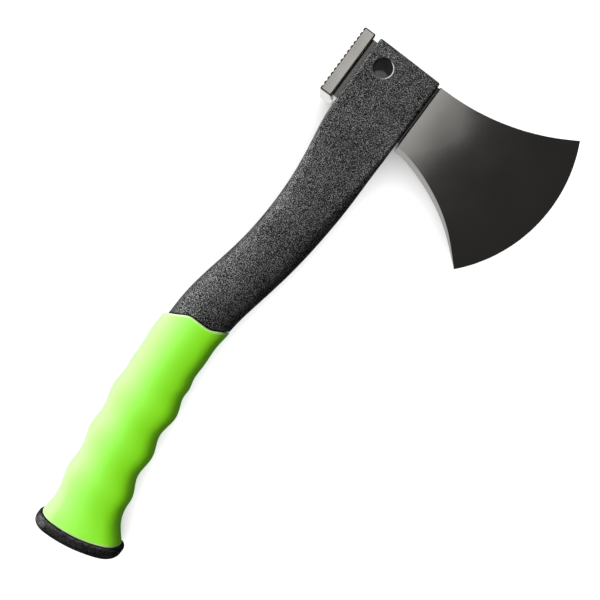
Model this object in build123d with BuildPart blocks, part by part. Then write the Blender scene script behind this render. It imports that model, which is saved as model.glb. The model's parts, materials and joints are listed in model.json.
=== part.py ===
from build123d import *
import math
import os

# A camp hatchet lying on its side: +X runs from the butt to the head, +Y towards the
# poll, -Y towards the cutting edge, and +Z is the thickness. The origin is under the
# middle of the bounding box, so every piece is mirrored in the plane z = mid_height.

# ---- Driving dimensions, in millimetres and degrees ----
overall_length = 317.5          # butt to the blade's toe
overall_width = 129.6           # poll teeth to cutting edge
butt_thickness = 29.0           # rim of the end cap, the thickest section
mid_height = butt_thickness / 2
poll_face_y = overall_width / 2
butt_x = -overall_length / 2

# Square eye of the handle, moulded round the head
eye_thickness = 23.5
eye_back_y = 54.8
eye_belly_y = 17.8
eye_start_x = 96.0
eye_end_x = 137.1               # halfway up the slightly slanted end
eye_end_slant = 1.2
eye_end_radius = 0.8
hang_hole = (126.0, 44.9)
hang_hole_radius = 4.75
hang_rim_radius = 0.8

# Blade
shoulder_y = 16.6
edge_centre_x = 122.7           # the cutting edge is an arc about this point
edge_centre_y = 15.5
edge_radius = edge_centre_y + overall_width / 2
root_heel_x = 99.6
root_toe_x = 136.5
heel_x = 68.3
toe_x = overall_length / 2
blade_thickness = 13.9
cheek_flat_radius = 20.0        # the cheek starts to thin this far from the edge's centre
toe_side_start_y = 11.8          # the sides run straight from the root to here
beard_start_y = 12.0
beard_points = [(82.6, -27.6), (93.4, -8.4)]
heel_direction = (0.68, 0.73)   # the beard's way out of the heel, and into the root
root_direction = (0.18, 0.98)
bevel_width = 6.4
bevel_thickness = 4.0
edge_thickness = 0.3
root_edge_radius = 0.6

# Web inside the eye, and the two necks where it comes out
web_thickness = 8.6
neck_thickness = 12.4
neck_heel_x = 101.6
neck_toe_x = 135.9
web_heel_x = 105.0
web_toe_x = 135.0
neck_depth = 3.0                # how far a neck's full width reaches into the eye
web_hole_wall = 1.9             # plastic between the hang hole and the web
key_slot_centres = [(111.0, 36.3), (120.0, 29.0)]
key_slot_length = 15.0
key_slot_width = 5.0

# Poll
poll_heel_x = 99.8
poll_toe_x = 138.1
poll_inner_y = 57.8
poll_thickness = 19.0
poll_edge_radius = 1.0
tooth_count = 14
tooth_depth = 0.9
tooth_land = 0.5

# Handle walls
rubber_thickness = 2.4
shell_wall = 2.9
junction_gap = 0.8              # groove between the rubber and the black shaft
ring_count = 3                  # ridges round the grip
ring_pitch = 23.4
ring_middle_x = -102.0
ring_rise_back = 1.4
ring_rise_belly = 2.2
ring_rise_cheek = 0.6
grip_end_x = -32.0
grip_tilt = 7.0                 # lean of the grip's sections from square

# End cap and the fire starter in it
cap_back_y = 52.8
cap_belly_y = 6.8
cap_radius = 108.4              # arch of the cap's outer face
cap_seat_radius = 102.0         # arch of its face that meets the rubber
cap_centre = (butt_x + cap_radius, 49.0)
seat_gap = 0.2                  # between the cap and the rubber
cap_block_depth = 25.0          # reaches past the slant of the cap from back to belly
cap_rim_radius = 3.2
cap_inner_rim_radius = 1.6
spigot_length = 12.0
spigot_wall = 2.0
spigot_clearance = 0.2
spigot_inner_x = -60.0          # clear of the spigot's slanted inner end
socket_radius = 7.4
socket_floor = 2.0
rod_radius = 4.0
rod_length = 70.0
rod_clearance = 0.5
rod_grip_length = 12.0          # how much of the rod is set in the knob
knob_radius = 5.1
knob_length = 22.0
knob_head_radius = 7.6
knob_head_thickness = 3.4
knob_gap = 0.3
knob_seat_depth = 4.0           # of the recess for the knob's head, below the cap's arch
starter_tilt = 9.5              # the fire starter points at the middle of the butt
knob_bore_radius = 5.6
ring_cord_radius = 0.6
ring_groove_width = 1.6
ring_groove_depths = (2.6, 6.2) # of the two o-rings' middles, below the head's seat
ring_running_clearance = 0.05
rod_tip_chamfer = 0.6
knob_head_edge_radius = 0.8
thumb_notch_radius = 4.0
thumb_notch_depth = 3.0

# Places along the fire starter's axis, measured out from the centre of the cap's arch
knob_seat_s = cap_radius - knob_seat_depth
knob_top_s = knob_seat_s + knob_gap + knob_head_thickness
knob_end_s = knob_seat_s + knob_gap - knob_length
rod_tip_s = knob_end_s + rod_grip_length - rod_length
ring_groove_places = [knob_seat_s - depth for depth in ring_groove_depths]
ring_centre_radius = knob_bore_radius - ring_running_clearance - ring_cord_radius
ring_groove_radius = ring_centre_radius - ring_cord_radius - ring_running_clearance

# Wavy joint between the rubber and the black shaft
junction_corners = [(-40.6, 68.0), (-29.2, 49.0), (-29.4, 37.0), (-21.8, 21.0)]
junction_corner_radius = 9.0
grip_side_x = -90.0             # well under the rubber, clear of the wave
head_side_x = 30.0              # well up the black shaft, clear of the wave

# ---- Lines of the handle, as (x, y) or (x, size) stops joined smoothly ----
shaft_back = [(-62, 61.4), (-35, 59.5), (-20, 58.8), (-2, 55.7), (18, 51.9), (40, 50.2),
              (60, 50.7), (78, 52.9), (90, 54.5), (96, 54.8), (102, 54.8)]
grip_back = [(-168, 52.6), (-152, 51.5), (-142, 51.2), (-132, 52.6), (-117, 54.6),
             (-96, 57.6), (-72, 60.2), (-52, 61.6), (-37, 61.9), (-16, 60.6)]
belly = [(-168, -8.0), (-152, 3.0), (-144.3, 9.3), (-137, 14.8), (-130, 18.8),
         (-117, 21.8), (-100, 24.8), (-86, 26.3), (-67, 27.9), (-47, 29.4), (-26, 29.0),
         (-12, 27.3), (8, 23.1), (28, 20.3), (48, 18.4), (64, 17.8), (78, 17.8),
         (96, 17.8), (102, 17.8)]
shaft_thickness = [(-62, 26.0), (-32, 25.2), (-2, 24.2), (38, 23.7), (78, 23.5),
                   (96, 23.5), (102, 23.5)]
grip_thickness = [(-168, 28.6), (-152, 27.6), (-140, 26.8), (-127, 26.6), (-82, 26.8),
                  (-42, 27.0), (-16, 26.6)]
corner_radius = [(-168, 10.0), (-142, 9.6), (-82, 9.2), (-22, 8.2), (28, 6.8), (60, 4.6),
                 (86, 1.8), (96, 1.4), (102, 1.4)]
side_crown = [(-168, 4.4), (-142, 4.2), (-82, 4.2), (-22, 3.8), (28, 2.6), (60, 1.2),
              (78, 0.4), (96, 0.0), (102, 0.0)]
cheek_crown = [(-168, 1.4), (-142, 2.8), (-82, 3.6), (-22, 2.8), (28, 1.6), (60, 0.6),
               (78, 0.2), (96, 0.0), (102, 0.0)]
tilt = [(-168, grip_tilt), (-66, grip_tilt), (-36, 0.0), (102, 0.0)]

stations_per_ring = 4
grip_ring_stations = [ring_middle_x + ring_pitch * (i / stations_per_ring - ring_count / 2)
                      for i in range(ring_count * stations_per_ring + 1)]
grip_stations = [-164, -157, -150, -143.5, *grip_ring_stations, -59, -50, -41, -32, -23, -14]
shaft_stations = [-46, -35, -20, -2, 18, 40, 60, 78, 90, 96]
under_grip_stations = [-164, -152, -144, -138, -126, -114, -96, -78, -60, -42, -22]
cavity_stations = [-164, -152, -138, -114, -78, -42, -2, 40, 74, 86]
spigot_stations = [x for x in cavity_stations if x < spigot_inner_x]

same_size = 0.01                # faces and edges this close to a radius are the ones meant


def smooth(stops, x):
    """Value at x on a smooth curve through the stops."""
    last = len(stops) - 2
    span = 0
    while span < last and x > stops[span + 1][0]:
        span += 1

    def slope(i):
        before = stops[max(i - 1, 0)]
        after = stops[min(i + 1, len(stops) - 1)]
        return (after[1] - before[1]) / (after[0] - before[0])

    (x0, y0), (x1, y1) = stops[span], stops[span + 1]
    width = x1 - x0
    t = (x - x0) / width
    rise = 3 * t**2 - 2 * t**3
    lead_in = (t**3 - 2 * t**2 + t) * width * slope(span)
    lead_out = (t**3 - t**2) * width * slope(span + 1)
    return y0 + (y1 - y0) * rise + lead_in + lead_out


def ring(x):
    """Height of the grip's ridges at x, from 0 in a trough to 1 on a crest."""
    if abs(x - ring_middle_x) > ring_count / 2 * ring_pitch:
        return 0.0
    return (1 + math.cos(2 * math.pi * (x - ring_middle_x) / ring_pitch)) / 2


def reach(line, x, centre_y, lean):
    """Distance from the handle's centre to a line of stops, along a leaning section."""
    distance = smooth(line, x) - centre_y
    for _ in range(5):     # each round moves x to where the leaning section meets the line
        distance = (smooth(line, x - distance * math.sin(lean)) - centre_y) / math.cos(lean)
    return distance


def section_sketch(plane, width, thickness, radius, side_bow, cheek_bow):
    """A rounded four-sided section whose sides bow outwards, centred on the plane."""
    side = width / 2 - side_bow
    cheek = thickness / 2 - cheek_bow
    corners = [(-side, -cheek), (side, -cheek), (side, cheek), (-side, cheek)]
    middles = [(0, -thickness / 2), (width / 2, 0), (0, thickness / 2), (-width / 2, 0)]
    with BuildSketch(plane) as section:
        with BuildLine():
            for i in range(4):
                if side_bow > 0:
                    ThreePointArc(corners[i], middles[i], corners[(i + 1) % 4])
                else:
                    Line(corners[i], corners[(i + 1) % 4])
        make_face()
        fillet(section.vertices(), radius=radius)
    return section.sketch


def handle_section(x, back, thickness, inset=0.0, ridge=0.0):
    """The handle's section at x, set in all round by inset, with a ridge's height."""
    lean = math.radians(smooth(tilt, x))
    centre_y = (smooth(back, x) + smooth(belly, x)) / 2
    to_back = reach(back, x, centre_y, lean) + ring_rise_back * ridge - inset
    to_belly = reach(belly, x, centre_y, lean) - ring_rise_belly * ridge + inset
    across = Vector(-math.sin(lean), math.cos(lean), 0)
    bow = 1 - 2 * inset / smooth(thickness, x)
    origin = Vector(x, centre_y, mid_height) + across * (to_back + to_belly) / 2
    along = (math.cos(lean), math.sin(lean), 0)
    return section_sketch(
        Plane(origin=origin, x_dir=across, z_dir=along),
        width=to_back - to_belly,
        thickness=smooth(thickness, x) + 2 * ring_rise_cheek * ridge - 2 * inset,
        radius=smooth(corner_radius, x) - min(inset, smooth(corner_radius, x) / 2),
        side_bow=smooth(side_crown, x) * bow,
        cheek_bow=smooth(cheek_crown, x) * bow,
    )


def cavity_section(x):
    """Section of the hollow inside the handle core at x."""
    if x < grip_end_x:
        return handle_section(x, grip_back, grip_thickness, rubber_thickness + shell_wall)
    return handle_section(x, shaft_back, shaft_thickness, shell_wall)


def junction_sketch(far_x, shift):
    """Everything on one side of the wavy joint between rubber and black shaft."""
    wave = [(x + shift, y) for x, y in junction_corners]
    with BuildSketch(Plane.XY) as region:
        with BuildLine():
            FilletPolyline(*wave, radius=junction_corner_radius)
            Polyline(wave[-1], (far_x, wave[-1][1]), (far_x, wave[0][1]), wave[0])
        make_face()
    return region.sketch


def beyond_seat_sketch(gap=0.0):
    """Everything on the butt side of the end cap's seat, less a gap."""
    with BuildSketch(Plane.XY) as region:
        with Locations((butt_x, 0)):
            Rectangle(2 * cap_block_depth, 2 * overall_width)
        with Locations(cap_centre):
            Circle(cap_seat_radius - gap, mode=Mode.SUBTRACT)
    return region.sketch


def edge_point(x):
    """Point of the cutting edge's arc at x."""
    return (x, edge_centre_y - math.sqrt(edge_radius**2 - (x - edge_centre_x) ** 2))


# ---- Axe head: blade, necks, web and poll in one piece of steel ----
with BuildPart() as poll:
    with BuildSketch(Plane.XY.offset(mid_height)):
        with Locations(((poll_heel_x + poll_toe_x) / 2, (poll_inner_y + poll_face_y) / 2)):
            Rectangle(poll_toe_x - poll_heel_x, poll_face_y - poll_inner_y)
    extrude(amount=poll_thickness / 2, both=True)
    fillet(poll.edges(), radius=poll_edge_radius)
    tooth_pitch = (poll_toe_x - poll_heel_x) / tooth_count
    groove_half_width = (tooth_pitch - tooth_land) / 2
    with BuildSketch(Plane.XY):
        with Locations(((poll_heel_x + poll_toe_x) / 2, poll_face_y - tooth_depth)):
            with GridLocations(tooth_pitch, 0, tooth_count - 1, 1):
                Polygon(
                    (0, 0),
                    (groove_half_width * 2, 2 * tooth_depth),
                    (-groove_half_width * 2, 2 * tooth_depth),
                    align=None,
                )
    extrude(amount=butt_thickness, mode=Mode.SUBTRACT)

with BuildPart() as axe_head:
    # the cheeks thin evenly towards the edge, so they are turned about the edge's centre
    edge_centre = (edge_centre_x, edge_centre_y, mid_height)
    with BuildSketch(Plane(edge_centre, x_dir=(1, 0, 0), z_dir=(0, -1, 0))):
        with BuildLine():
            flat_end = (cheek_flat_radius, blade_thickness / 2)
            bevel_end = (edge_radius - bevel_width, bevel_thickness / 2)
            Polyline((0, 0), (0, blade_thickness / 2), flat_end)
            TangentArc(flat_end, bevel_end, tangent=(1, 0))
            Polyline(bevel_end, (edge_radius, edge_thickness / 2), (edge_radius, 0), (0, 0))
        make_face()
        mirror(about=Plane.XZ)
    revolve(axis=Axis(edge_centre, (0, 0, 1)))
    heel_tip = edge_point(heel_x)
    toe_tip = edge_point(toe_x)
    with BuildSketch(Plane.XY):
        with BuildLine():
            Polyline((root_heel_x, beard_start_y), (root_heel_x, shoulder_y),
                     (root_toe_x, shoulder_y), (root_toe_x, toe_side_start_y))
            TangentArc((root_toe_x, toe_side_start_y), toe_tip, tangent=(0, -1))
            ThreePointArc(toe_tip, edge_point(edge_centre_x), heel_tip)
            Spline(heel_tip, *beard_points, (root_heel_x, beard_start_y),
                   tangents=(heel_direction, root_direction))
        make_face()
    extrude(amount=butt_thickness, mode=Mode.INTERSECT)
    shoulder = axe_head.faces().filter_by(Axis.Y).sort_by(Axis.Y)[-1]
    fillet(shoulder.edges(), radius=root_edge_radius)

    web_belly_y = eye_belly_y + neck_depth
    web_back_y = eye_back_y - neck_depth
    with BuildSketch(Plane.XY.offset(mid_height)):
        with Locations(((web_heel_x + web_toe_x) / 2, (web_belly_y + web_back_y) / 2)):
            Rectangle(web_toe_x - web_heel_x, web_back_y - web_belly_y)
        with Locations(hang_hole):
            Circle(hang_hole_radius + web_hole_wall, mode=Mode.SUBTRACT)
        with Locations(*key_slot_centres):
            SlotOverall(key_slot_length, key_slot_width, rotation=90, mode=Mode.SUBTRACT)
    extrude(amount=web_thickness / 2, both=True)
    # each neck runs from inside its neighbour outside the eye to the edge of the web
    for outer_y, inner_y in ((shoulder_y - neck_depth, web_belly_y),
                             (poll_inner_y + neck_depth, web_back_y)):
        with BuildSketch(Plane.XY.offset(mid_height)):
            with Locations(((neck_heel_x + neck_toe_x) / 2, (outer_y + inner_y) / 2)):
                Rectangle(neck_toe_x - neck_heel_x, abs(outer_y - inner_y))
        extrude(amount=neck_thickness / 2, both=True)
    add(poll.part)
axe_head.part.label = "axe_head"


# ---- Handle core: hollow black nylon, moulded round the web ----
with BuildPart() as handle_core:
    extrude(handle_section(eye_start_x, shaft_back, shaft_thickness),
            amount=overall_length / 2 - eye_start_x)
    slant = math.radians(eye_end_slant)
    split(bisect_by=Plane(
        (eye_end_x, (eye_back_y + eye_belly_y) / 2, mid_height),
        z_dir=(-math.cos(slant), math.sin(slant), 0),
    ))
    eye_end = handle_core.faces().sort_by(Axis.X)[-1]
    fillet(eye_end.edges(), radius=eye_end_radius)
    loft([handle_section(x, shaft_back, shaft_thickness) for x in shaft_stations])
    extrude(junction_sketch(grip_side_x, junction_gap), amount=butt_thickness, mode=Mode.SUBTRACT)
    loft([handle_section(x, grip_back, grip_thickness, rubber_thickness)
          for x in under_grip_stations])
    extrude(beyond_seat_sketch(), amount=butt_thickness, mode=Mode.SUBTRACT)
    loft([cavity_section(x) for x in cavity_stations], mode=Mode.SUBTRACT)
    add(axe_head.part, mode=Mode.SUBTRACT)
    with Locations((*hang_hole, mid_height + eye_thickness / 2)):
        Hole(hang_hole_radius)
    rims = handle_core.edges().filter_by(GeomType.CIRCLE).filter_by(
        lambda edge: abs(edge.radius - hang_hole_radius) < same_size
        and abs(edge.center().Z - mid_height) > neck_thickness / 2)
    fillet(rims, radius=hang_rim_radius)
handle_core.part.label = "handle_core"


# ---- Grip sleeve: soft rubber over the core, with three ridges ----
with BuildPart() as grip_sleeve:
    loft([handle_section(x, grip_back, grip_thickness, ridge=ring(x)) for x in grip_stations])
    loft([handle_section(x, grip_back, grip_thickness, rubber_thickness)
          for x in under_grip_stations], mode=Mode.SUBTRACT)
    extrude(junction_sketch(head_side_x, 0), amount=butt_thickness, mode=Mode.SUBTRACT)
    extrude(beyond_seat_sketch(seat_gap), amount=butt_thickness, mode=Mode.SUBTRACT)
grip_sleeve.part.label = "grip_sleeve"


# ---- End cap: rim, spigot in the core, and the socket of the fire starter ----
starter_angle = math.radians(starter_tilt)
outward = Vector(-math.cos(starter_angle), -math.sin(starter_angle), 0)
starter_origin = Vector(*cap_centre, mid_height)
starter_axis = Axis(starter_origin, outward)
starter_plane = Plane(starter_origin, x_dir=outward, z_dir=(0, 0, 1))


def turned(profile):
    """A solid turned about the fire starter's axis from (distance, radius) points."""
    with BuildPart() as body:
        with BuildSketch(starter_plane):
            with BuildLine():
                Polyline(*profile, close=True)
            make_face()
        revolve(axis=starter_axis)
    return body.part


with BuildPart() as cap_rim:
    extrude(
        section_sketch(
            Plane((butt_x, (cap_back_y + cap_belly_y) / 2, mid_height),
                  x_dir=(0, 1, 0), z_dir=(1, 0, 0)),
            width=cap_back_y - cap_belly_y,
            thickness=butt_thickness,
            radius=smooth(corner_radius, butt_x),
            side_bow=smooth(side_crown, butt_x),
            cheek_bow=smooth(cheek_crown, butt_x),
        ),
        amount=cap_block_depth,
    )
    with BuildSketch(Plane.XY):
        with Locations(cap_centre):
            Circle(cap_radius)
        with Locations(cap_centre):
            Circle(cap_seat_radius, mode=Mode.SUBTRACT)
    extrude(amount=butt_thickness, mode=Mode.INTERSECT)
    outer_face = cap_rim.faces().filter_by(
        lambda face: face.geom_type == GeomType.CYLINDER
        and abs(face.radius - cap_radius) < same_size)
    fillet(outer_face.edges(), radius=cap_rim_radius)
    seat_face = cap_rim.faces().filter_by(
        lambda face: face.geom_type == GeomType.CYLINDER
        and abs(face.radius - cap_seat_radius) < same_size)
    fillet(seat_face.edges(), radius=cap_inner_rim_radius)

with BuildPart() as butt_cap:
    spigot_inset = rubber_thickness + shell_wall + spigot_clearance
    loft([handle_section(x, grip_back, grip_thickness, spigot_inset)
          for x in spigot_stations])
    loft([handle_section(x, grip_back, grip_thickness, spigot_inset + spigot_wall)
          for x in spigot_stations], mode=Mode.SUBTRACT)
    with BuildSketch(Plane.XY):
        with Locations(cap_centre):
            Circle(cap_seat_radius + spigot_wall)
            Circle(cap_seat_radius - spigot_length, mode=Mode.SUBTRACT)
    extrude(amount=butt_thickness, mode=Mode.INTERSECT)
    add(turned([
        (cap_seat_radius + spigot_wall, 0),
        (cap_seat_radius + spigot_wall, socket_radius),
        (rod_tip_s - rod_clearance - socket_floor, socket_radius),
        (rod_tip_s - rod_clearance - socket_floor, 0),
    ]))
    add(cap_rim.part)
    add(turned([
        (cap_radius + spigot_wall, 0),
        (cap_radius + spigot_wall, knob_head_radius + knob_gap),
        (knob_seat_s, knob_head_radius + knob_gap),
        (knob_seat_s, knob_bore_radius),
        (knob_end_s - knob_gap, knob_bore_radius),
        (knob_end_s - knob_gap, rod_radius + rod_clearance),
        (rod_tip_s - rod_clearance, rod_radius + rod_clearance),
        (rod_tip_s - rod_clearance, 0),
    ]), mode=Mode.SUBTRACT)
    mouth = Plane(starter_origin + outward * cap_radius, x_dir=(0, 0, 1), z_dir=outward)
    with BuildSketch(mouth.offset(-thumb_notch_depth)):
        with Locations((knob_head_radius, 0), (-knob_head_radius, 0)):
            Circle(thumb_notch_radius)
    extrude(amount=2 * thumb_notch_depth, mode=Mode.SUBTRACT)
butt_cap.part.label = "butt_cap"


# ---- Fire starter: a rod set in a knob that two rubber rings hold in the cap ----
with BuildPart() as rod_knob:
    add(turned([
        (knob_seat_s + knob_gap, 0),
        (knob_seat_s + knob_gap, knob_head_radius),
        (knob_top_s, knob_head_radius),
        (knob_top_s, 0),
    ]))
    fillet(rod_knob.edges(), radius=knob_head_edge_radius)
    add(turned([
        (knob_seat_s + 2 * knob_gap, 0),
        (knob_seat_s + 2 * knob_gap, knob_radius),
        (knob_end_s, knob_radius),
        (knob_end_s, 0),
    ]))
    for s in ring_groove_places:
        add(turned([
            (s - ring_groove_width / 2, 2 * knob_radius),
            (s - ring_groove_width / 2, ring_groove_radius),
            (s + ring_groove_width / 2, ring_groove_radius),
            (s + ring_groove_width / 2, 2 * knob_radius),
        ]), mode=Mode.SUBTRACT)
    add(turned([
        (knob_end_s, 0),
        (knob_end_s, rod_radius),
        (knob_end_s + rod_grip_length, rod_radius),
        (knob_end_s + rod_grip_length, 0),
    ]), mode=Mode.SUBTRACT)
rod_knob.part.label = "rod_knob"

with BuildPart() as knob_o_rings:
    for s in ring_groove_places:
        with BuildSketch(starter_plane):
            with Locations((s, ring_centre_radius)):
                Circle(ring_cord_radius)
        revolve(axis=starter_axis)
knob_o_rings.part.label = "knob_o_rings"

with BuildPart() as ferro_rod:
    add(turned([
        (rod_tip_s, 0),
        (rod_tip_s, rod_radius - rod_tip_chamfer),
        (rod_tip_s + rod_tip_chamfer, rod_radius),
        (knob_end_s + rod_grip_length, rod_radius),
        (knob_end_s + rod_grip_length, 0),
    ]))
ferro_rod.part.label = "ferro_rod"


os.makedirs("parts", exist_ok=True)
for piece in (axe_head, handle_core, grip_sleeve, butt_cap, ferro_rod, rod_knob,
              knob_o_rings):
    export_step(piece.part, f"parts/{piece.part.label}.step")
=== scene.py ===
import json
import math

import bpy
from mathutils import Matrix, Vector


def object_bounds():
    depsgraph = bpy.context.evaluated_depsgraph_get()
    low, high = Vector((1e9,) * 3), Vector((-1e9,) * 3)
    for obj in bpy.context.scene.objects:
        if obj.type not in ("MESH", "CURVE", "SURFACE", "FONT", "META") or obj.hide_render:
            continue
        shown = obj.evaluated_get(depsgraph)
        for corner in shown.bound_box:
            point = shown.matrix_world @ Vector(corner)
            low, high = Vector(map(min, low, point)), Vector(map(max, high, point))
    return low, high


# Looks of a camp hatchet that lies on a pale floor, seen from straight above. The frame is
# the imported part's, in metres: +X from butt to head, -Y to the cutting edge, +Z up.

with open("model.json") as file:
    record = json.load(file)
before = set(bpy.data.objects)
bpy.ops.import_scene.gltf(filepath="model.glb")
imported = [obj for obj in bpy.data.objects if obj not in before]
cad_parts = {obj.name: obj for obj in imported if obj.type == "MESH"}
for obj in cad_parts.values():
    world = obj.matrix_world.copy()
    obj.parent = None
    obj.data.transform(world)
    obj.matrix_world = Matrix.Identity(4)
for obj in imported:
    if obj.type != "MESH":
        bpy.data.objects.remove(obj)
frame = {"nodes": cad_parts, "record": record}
cad_low, cad_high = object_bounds()
middle = (cad_low + cad_high) / 2
length = cad_high.x - cad_low.x
nodes = frame["nodes"]

hang_hole = next(mount for mount in frame["record"]["mounts"] if mount["name"] == "hang_hole")
hole_place = Vector(hang_hole["pos_m"])
hole_radius = hang_hole["dims"]["r_mm"] / 1000


# ---- Node helpers ----
class Finish:
    """A material made of nodes. Every pattern is measured in metres of the row frame."""

    def __init__(self, name):
        self.material = bpy.data.materials.new(name)
        self.material.use_nodes = True
        self.tree = self.material.node_tree
        self.tree.nodes.clear()
        self.shader = self.node("ShaderNodeBsdfPrincipled")
        output = self.node("ShaderNodeOutputMaterial")
        self.tree.links.new(self.shader.outputs["BSDF"], output.inputs["Surface"])
        self.place = self.node("ShaderNodeTexCoord").outputs["Object"]

    def node(self, kind, settings=(), **inputs):
        """Adds a node. Its settings are its own properties, and its inputs are fed."""
        made = self.tree.nodes.new(kind)
        for name, value in settings:
            setattr(made, name, value)
        for name, value in inputs.items():
            self.feed(made.inputs[name.replace("_", " ")], value)
        return made

    def feed(self, socket, value):
        """Links another node's socket to this one, or sets a number or a tuple on it."""
        if isinstance(value, bpy.types.NodeSocket):
            self.tree.links.new(value, socket)
        else:
            socket.default_value = value

    def surface(self, **inputs):
        """Feeds the shader's own sockets."""
        for name, value in inputs.items():
            self.feed(self.shader.inputs[name.replace("_", " ")], value)

    def maths(self, operation, first, second):
        """One sum of two values, such as ADD or MULTIPLY."""
        made = self.node("ShaderNodeMath", [("operation", operation)])
        self.feed(made.inputs[0], first)
        self.feed(made.inputs[1], second)
        return made.outputs[0]

    def stretched(self, scale, tilt=(0, 0, 0)):
        """The surface's place, turned by tilt (radians) and scaled along each axis."""
        made = self.node("ShaderNodeMapping", Vector=self.place)
        made.inputs["Rotation"].default_value = tilt
        made.inputs["Scale"].default_value = scale
        return made.outputs["Vector"]

    def distance_from(self, centre):
        """How far the surface is from a line through the centre along Z."""
        flat = self.stretched((1, 1, 0))
        made = self.node("ShaderNodeVectorMath", [("operation", "DISTANCE")])
        self.feed(made.inputs[0], flat)
        self.feed(made.inputs[1], (centre.x, centre.y, 0))
        return made.outputs["Value"]

    def noise(self, size, detail=2.0, place=None):
        """Soft noise from 0 to 1 whose blotches are about size metres across."""
        made = self.node("ShaderNodeTexNoise", Vector=place or self.place, Scale=1 / size,
                         Detail=detail)
        return made.outputs["Fac"]

    def openness(self, reach):
        """How open the air within reach of the surface is: 1 on a flat, less in a corner."""
        made = self.node("ShaderNodeAmbientOcclusion", [("samples", 8)], Distance=reach)
        return made.outputs["AO"]

    def between(self, value, low, high, out_low=0.0, out_high=1.0):
        """Maps low..high to out_low..out_high smoothly, and holds it outside."""
        made = self.node("ShaderNodeMapRange", [("interpolation_type", "SMOOTHSTEP")])
        self.feed(made.inputs["Value"], value)
        for name, number in (("From Min", low), ("From Max", high),
                             ("To Min", out_low), ("To Max", out_high)):
            self.feed(made.inputs[name], number)
        return made.outputs["Result"]

    def mix(self, amount, first, second):
        """A colour between first and second."""
        made = self.node("ShaderNodeMix", [("data_type", "RGBA")])
        self.feed(made.inputs["Factor"], amount)
        self.feed(made.inputs["A"], first)
        self.feed(made.inputs["B"], second)
        return made.outputs["Result"]


# ---- Finishes ----
def shade(grey, red=1.0, green=1.0, blue=1.0):
    """An opaque grey with each of its channels scaled."""
    return (grey * red, grey * green, grey * blue, 1)


def tinted(grey):
    """A dark grey with the faint green cast of glass-filled nylon."""
    return shade(grey, 0.98, 1.02, 0.98)


def speckled_nylon(name, pit_grey, peak_grey, shine, depth):
    """Black nylon from a spark-eroded mould: dull pits, and sharp peaks painted pale, partly
    the nylon's own pale specks and partly a painted glint.

    Shine is how strongly the peaks mirror, and depth how high they stand.
    """
    grain_size = 0.00033
    patch_size = 0.02
    patch_share = 0.08            # how much a patch raises the grain that it covers
    corner_reach = 0.003          # this close to a corner the pale peaks and their shine fade out, a painted shade
    speck_and_glint_peaks = (0.59, 0.73)
    glossy_peaks = (0.54, 0.68)
    rim_inside = hole_radius + 0.0007
    rim_outside = hole_radius + 0.001

    finish = Finish(name)
    # tilted, because noise is weak on a flat face that lies along its own grid
    grain_place = finish.stretched((1, 1, 1), tilt=(0.6, 0.4, 0))
    grain = finish.noise(grain_size, detail=1.0, place=grain_place)
    patch = finish.noise(patch_size)
    peaks = finish.maths("ADD", grain, finish.maths("MULTIPLY", patch, patch_share))
    # painted shade: corners lose the pale peaks and the shine, so they read dark where shade
    # falls
    clear = finish.between(finish.openness(corner_reach), 0.6, 0.95)
    # pale peaks: partly the nylon's own pale specks, partly a painted glint
    pale_specks_and_glint = finish.maths("MULTIPLY", finish.between(peaks, *speck_and_glint_peaks), clear)
    gloss = finish.maths("MULTIPLY", finish.between(peaks, *glossy_peaks, 0.0, shine), clear)

    # the hang hole's wall and its rounded rim are smooth and glossy
    rim = finish.between(finish.distance_from(hole_place), rim_inside, rim_outside, 1.0, 0.0)
    off_rim = finish.maths("SUBTRACT", 1.0, rim)
    bump = finish.node("ShaderNodeBump", Strength=off_rim, Distance=depth, Height=grain)
    finish.surface(
        Base_Color=finish.mix(finish.maths("MULTIPLY", pale_specks_and_glint, off_rim),
                              tinted(pit_grey), tinted(peak_grey)),
        Normal=bump.outputs["Normal"],
        Specular_IOR_Level=finish.maths("ADD", gloss, rim),
        Roughness=finish.between(rim, 0.0, 1.0, 0.45, 0.3))
    return finish


def satin_rubber(name, colour, dark, painted_edge_highlight):
    """Moulded rubber with a fine skin, cloudy between colour and dark, and edges painted pale
    as a painted highlight.
    """
    cloud_size = 0.025
    skin_size = 0.0009
    skin_depth = 0.00006
    edge_reach = 0.0022
    edge_turn = (0.9, 0.99)       # cosines between which a face counts as part of an edge

    finish = Finish(name)
    cloud = finish.noise(cloud_size)
    skin = finish.noise(skin_size, detail=3.0)
    rounded = finish.node("ShaderNodeBevel", [("samples", 8)], Radius=edge_reach)
    face = finish.node("ShaderNodeNewGeometry").outputs["Normal"]
    turn = finish.node("ShaderNodeVectorMath", [("operation", "DOT_PRODUCT")])
    finish.feed(turn.inputs[0], rounded.outputs["Normal"])
    finish.feed(turn.inputs[1], face)
    # painted highlight: faces that turn round an edge are painted pale, where an edge would
    # catch light
    edge = finish.between(turn.outputs["Value"], *edge_turn, 1.0, 0.0)
    bump = finish.node("ShaderNodeBump", Strength=0.5, Distance=skin_depth, Height=skin,
                       Normal=rounded.outputs["Normal"])
    finish.surface(
        Base_Color=finish.mix(edge, finish.mix(cloud, dark, colour), painted_edge_highlight),
        Normal=bump.outputs["Normal"],
        Specular_IOR_Level=1.0,
        Roughness=finish.between(skin, 0.3, 0.7, 0.52, 0.6))
    return finish


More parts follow.
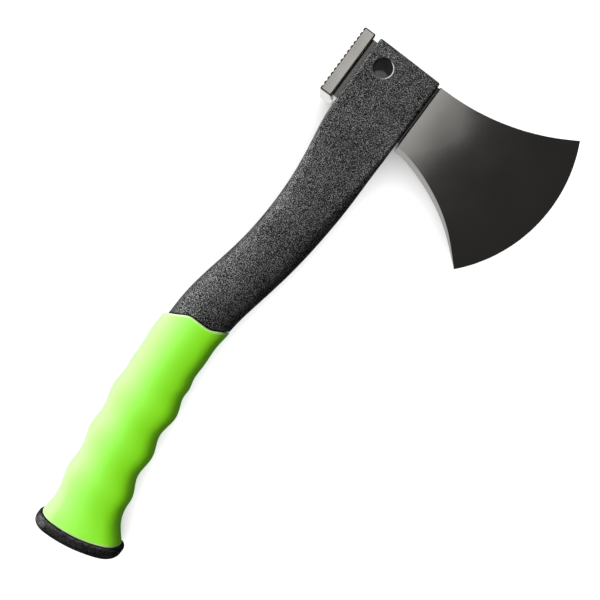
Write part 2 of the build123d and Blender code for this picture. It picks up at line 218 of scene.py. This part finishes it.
def coated_steel(name, grey, rough):
    """Steel under a dark satin coating, with painted shade that darkens it in the corners and
    crevices.
    """
    line_size = 0.0006
    line_stretch = (1, 0.04, 1)   # the belt's lines run along Y, from the poll to the edge
    line_depth = 0.000004
    patch_size = 0.02
    corner_reach = 0.003
    crevice_reach = 0.0009
    painted_shade_share = 0.05             # how much of the steel's brightness the painted shade in corners leaves

    finish = Finish(name)
    lines = finish.noise(line_size, detail=3.0, place=finish.stretched(line_stretch))
    patch = finish.noise(patch_size, detail=3.0)
    coat_colour = finish.mix(patch, shade(grey, 0.95, 0.92, 0.87), shade(grey, 1.05, 1.01, 0.96))
    # painted shade: the coat is painted near black in corners and crevices, where shade falls
    free_of_painted_shade = finish.maths(
        "MULTIPLY",
        finish.between(finish.openness(corner_reach), 0.5, 0.95),
        finish.between(finish.openness(crevice_reach), 0.5, 0.9))
    bump = finish.node("ShaderNodeBump", Strength=0.2, Distance=line_depth, Height=lines)
    finish.surface(
        Base_Color=finish.mix(free_of_painted_shade, shade(grey * painted_shade_share), coat_colour),
        Metallic=1.0,
        Normal=bump.outputs["Normal"],
        Roughness=finish.between(patch, 0.3, 0.7, rough * 0.9, rough * 1.1))
    return finish


finishes = {
    "coated_steel": coated_steel("head_steel", grey=0.33, rough=0.21),
    "ferro_metal": coated_steel("rod_metal", grey=0.15, rough=0.5),
    "black_nylon": speckled_nylon(
        "shaft_nylon", pit_grey=0.007, peak_grey=0.19, shine=1.0, depth=0.00028),
    "cap_nylon": speckled_nylon(
        "cap_nylon", pit_grey=0.004, peak_grey=0.035, shine=0.8, depth=0.00008),
    "knob_plastic": speckled_nylon(
        "knob_nylon", pit_grey=0.004, peak_grey=0.035, shine=0.8, depth=0.00008),
    "green_rubber": satin_rubber(
        "grip_rubber", colour=(0.29, 0.93, 0.002, 1), dark=(0.26, 0.87, 0.002, 1),
        painted_edge_highlight=(0.75, 1.0, 0.45, 1)),
    "black_rubber": satin_rubber(
        "ring_rubber", colour=shade(0.015), dark=shade(0.01), painted_edge_highlight=shade(0.03)),
}
for subpart in frame["record"]["subparts"]:
    node = nodes[subpart["node"]]
    node.data.materials.clear()
    node.data.materials.append(finishes[subpart["material_slot"]].material)


# ---- Floor ----
def floor_finish():
    """Matt white paper, very slightly mottled."""
    mottle_size = 0.002
    finish = Finish("floor_paper")
    mottle = finish.noise(mottle_size, detail=4.0)
    finish.surface(Base_Color=finish.mix(mottle, shade(0.88), shade(0.9)),
                   Roughness=0.9, Specular_IOR_Level=0.1)
    return finish.material


floor_half = 10 * length
floor_corners = [(x * floor_half, y * floor_half, 0)
                 for x, y in ((-1, -1), (1, -1), (1, 1), (-1, 1))]
floor_mesh = bpy.data.meshes.new("floor")
floor_mesh.from_pydata(floor_corners, [], [(0, 1, 2, 3)])
floor = bpy.data.objects.new("floor", floor_mesh)
floor.data.materials.append(floor_finish())
# The white floor throws no light back on the hatchet and isn't mirrored in it. Lamps that
# can be aimed stand in for both.
floor.visible_diffuse = False
floor.visible_glossy = False
bpy.context.scene.collection.objects.link(floor)


# ---- Light ----
def light_group(name, things, state):
    """A collection that lights only the things (INCLUDE), or all but the things (EXCLUDE)."""
    group = bpy.data.collections.new(name)
    for thing in things:
        group.objects.link(thing)
    for member in group.collection_objects:
        member.light_linking.link_state = state
    return group


def softbox(name, place, aim, size_x, size_y, radiance, lit):
    """An area light of that radiance at place, turned to face aim, that lights a group."""
    light = bpy.data.lights.new(name, "AREA")
    light.shape = "RECTANGLE"
    light.size = size_x
    light.size_y = size_y
    light.energy = radiance * math.pi * size_x * size_y
    lamp = bpy.data.objects.new(name, light)
    lamp.location = place
    lamp.rotation_euler = (Vector(aim) - Vector(place)).to_track_quat("-Z", "Y").to_euler()
    lamp.light_linking.receiver_collection = lit
    bpy.context.scene.collection.objects.link(lamp)
    return lamp


all_but_floor = light_group("all_but_floor", [floor], "EXCLUDE")
floor_only = light_group("floor_only", [floor], "INCLUDE")
steel_only = light_group("steel_only", [nodes["axe_head"]], "INCLUDE")
grip_only = light_group("grip_only", [nodes["grip_sleeve"]], "INCLUDE")
nylon_only = light_group("nylon_only", [nodes["handle_core"], nodes["butt_cap"]], "INCLUDE")

softbox("overhead", (0.22, 0.086, 0.6), (0.22, 0.086, 0), 0.5, 0.138, 1.65, steel_only)
softbox("floor_wash", (0, 0, 1.4), (0, 0, 0), 5, 5, 2.3, floor_only)

# the light that shapes the hatchet, without showing in it
for name, place, size_y, radiance in (
    ("key", (0, 0.5, 1.05), 0.5, 7.0),
    ("fill", (0, -1.0, 0.3), 0.6, 0.55),
):
    lamp = softbox(name, place, (0, 0, 0), 1.4, size_y, radiance, all_but_floor)
    lamp.visible_glossy = False

# what the glossy surfaces mirror: white walls, and the white floor round the hatchet
white = (1, 1, 1)
cool_white = (0.84, 1.0, 1.05)    # keeps the shine on the green rubber from looking yellow
for name, place, aim, size_x, size_y, radiance, colour, lit in (
    ("nylon_wall", (0, 0.6, 0.2), (0, 0, 0), 1.4, 0.9, 9, white, nylon_only),
    ("nylon_end_wall", (0.6, 0.35, 0.35), (0.1, 0, 0), 0.8, 0.6, 3, white, nylon_only),
    ("grip_wall", (0, 0.6, 0.2), (0, 0, 0), 1.4, 0.9, 8, cool_white, grip_only),
    ("grip_floor", (0, 0.5, 0.0004), (0, 0.5, 1), 1.4, 0.9, 4, cool_white, grip_only),
    ("poll_floor", (0.08, 0.16, 0.0004), (0.08, 0.16, 1), 0.4, 0.24, 1.45, white, steel_only),
    ("beard_floor", (0.08, -0.03, 0.0004), (0.08, -0.03, 1), 0.4, 0.13, 0.6, white, steel_only),
):
    lamp = softbox(name, place, aim, size_x, size_y, radiance, lit)
    lamp.data.color = colour
    lamp.visible_diffuse = False

room_glow = 0.06
world = bpy.data.worlds.new("room")
world.use_nodes = True
world.node_tree.nodes["Background"].inputs["Color"].default_value = (1, 1, 1, 1)
world.node_tree.nodes["Background"].inputs["Strength"].default_value = room_glow
bpy.context.scene.world = world
bpy.context.scene.view_settings.view_transform = "Standard"


# ---- Camera, straight above ----
camera_height = 0.46              # above the hatchet's middle plane
camera_shift = (0.0094, 0.0099)   # from the hatchet's middle, to frame it as in the photo
camera_turn = math.radians(-53.5)
view_width = 0.3042               # across the picture, at the middle plane
camera_data = bpy.data.cameras.new("camera")
camera_data.lens = camera_data.sensor_width * camera_height / view_width
camera = bpy.data.objects.new("camera", camera_data)
camera.location = middle + Vector((*camera_shift, camera_height))
camera.rotation_euler = (0, 0, camera_turn)
bpy.context.scene.collection.objects.link(camera)
bpy.context.scene.camera = camera
